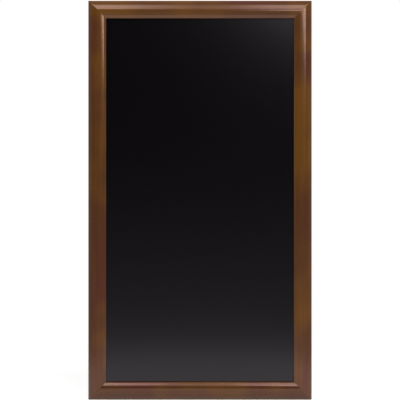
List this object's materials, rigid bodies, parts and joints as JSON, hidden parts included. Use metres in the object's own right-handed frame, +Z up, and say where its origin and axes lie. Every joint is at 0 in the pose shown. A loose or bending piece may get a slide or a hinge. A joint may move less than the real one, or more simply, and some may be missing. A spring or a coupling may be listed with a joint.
{
  "type": "wall chalkboard",
  "caption": "Tall black chalkboard in a stained wooden frame with a mitred, curved moulding, hung on a wall by swinging D-rings.",
  "frame": {"origin": "middle of the board, on the plane of the wall that its bumpers touch", "axes": "+X right as the writer sees it, +Y into the wall (the writing face looks towards -Y), +Z up"},
  "size_m": [0.56, 0.025, 1],
  "materials": {
    "stained_wood": "dark stain under satin lacquer",
    "writing_black": "black writing lacquer with a soft sheen",
    "hardboard": "bare hardboard",
    "spring_steel": "bare rolled steel",
    "zinc_plate": "bright zinc plate",
    "black_rubber": "matt"
  },
  "bodies": {
    "board": {"top_rail": "stained_wood", "bottom_rail": "stained_wood", "left_stile": "stained_wood", "right_stile": "stained_wood", "writing_sheet": "writing_black", "hardboard_core": "hardboard", "top_left_outer_v_nail": "spring_steel", "top_left_inner_v_nail": "spring_steel", "top_right_outer_v_nail": "spring_steel", "top_right_inner_v_nail": "spring_steel", "bottom_right_outer_v_nail": "spring_steel", "bottom_right_inner_v_nail": "spring_steel", "bottom_left_outer_v_nail": "spring_steel", "bottom_left_inner_v_nail": "spring_steel", "top_rail_point_1": "spring_steel", "top_rail_point_2": "spring_steel", "top_rail_point_3": "spring_steel", "bottom_rail_point_1": "spring_steel", "bottom_rail_point_2": "spring_steel", "bottom_rail_point_3": "spring_steel", "left_stile_point_1": "spring_steel", "left_stile_point_2": "spring_steel", "left_stile_point_3": "spring_steel", "left_stile_point_4": "spring_steel", "left_stile_point_5": "spring_steel", "right_stile_point_1": "spring_steel", "right_stile_point_2": "spring_steel", "right_stile_point_3": "spring_steel", "right_stile_point_4": "spring_steel", "right_stile_point_5": "spring_steel", "top_left_hanger_strap": "zinc_plate", "top_left_hanger_screw": "zinc_plate", "top_right_hanger_strap": "zinc_plate", "top_right_hanger_screw": "zinc_plate", "side_lower_hanger_strap": "zinc_plate", "side_lower_hanger_screw": "zinc_plate", "side_upper_hanger_strap": "zinc_plate", "side_upper_hanger_screw": "zinc_plate", "upper_left_bumper": "black_rubber", "lower_left_bumper": "black_rubber", "upper_right_bumper": "black_rubber", "lower_right_bumper": "black_rubber"},
    "top_left_hanger_d_ring": {"top_left_hanger_ring": "zinc_plate"},
    "top_right_hanger_d_ring": {"top_right_hanger_ring": "zinc_plate"},
    "side_lower_hanger_d_ring": {"side_lower_hanger_ring": "zinc_plate"},
    "side_upper_hanger_d_ring": {"side_upper_hanger_ring": "zinc_plate"}
  },
  "joints": [
    {"name": "top_left_hanger_ring_swing", "type": "hinge", "parent": "board", "child": "top_left_hanger_d_ring", "pos_m": [-0.1512, -0.0029, 0.4835], "axis": [-1, 0, 0], "range_deg": [0, 178]},
    {"name": "top_right_hanger_ring_swing", "type": "hinge", "parent": "board", "child": "top_right_hanger_d_ring", "pos_m": [0.1512, -0.0029, 0.4835], "axis": [-1, 0, 0], "range_deg": [0, 178]},
    {"name": "side_lower_hanger_ring_swing", "type": "hinge", "parent": "board", "child": "side_lower_hanger_d_ring", "pos_m": [-0.2635, -0.0029, -0.27], "axis": [0, 0, -1], "range_deg": [0, 178]},
    {"name": "side_upper_hanger_ring_swing", "type": "hinge", "parent": "board", "child": "side_upper_hanger_d_ring", "pos_m": [-0.2635, -0.0029, 0.27], "axis": [0, 0, -1], "range_deg": [0, 178]}
  ]
}
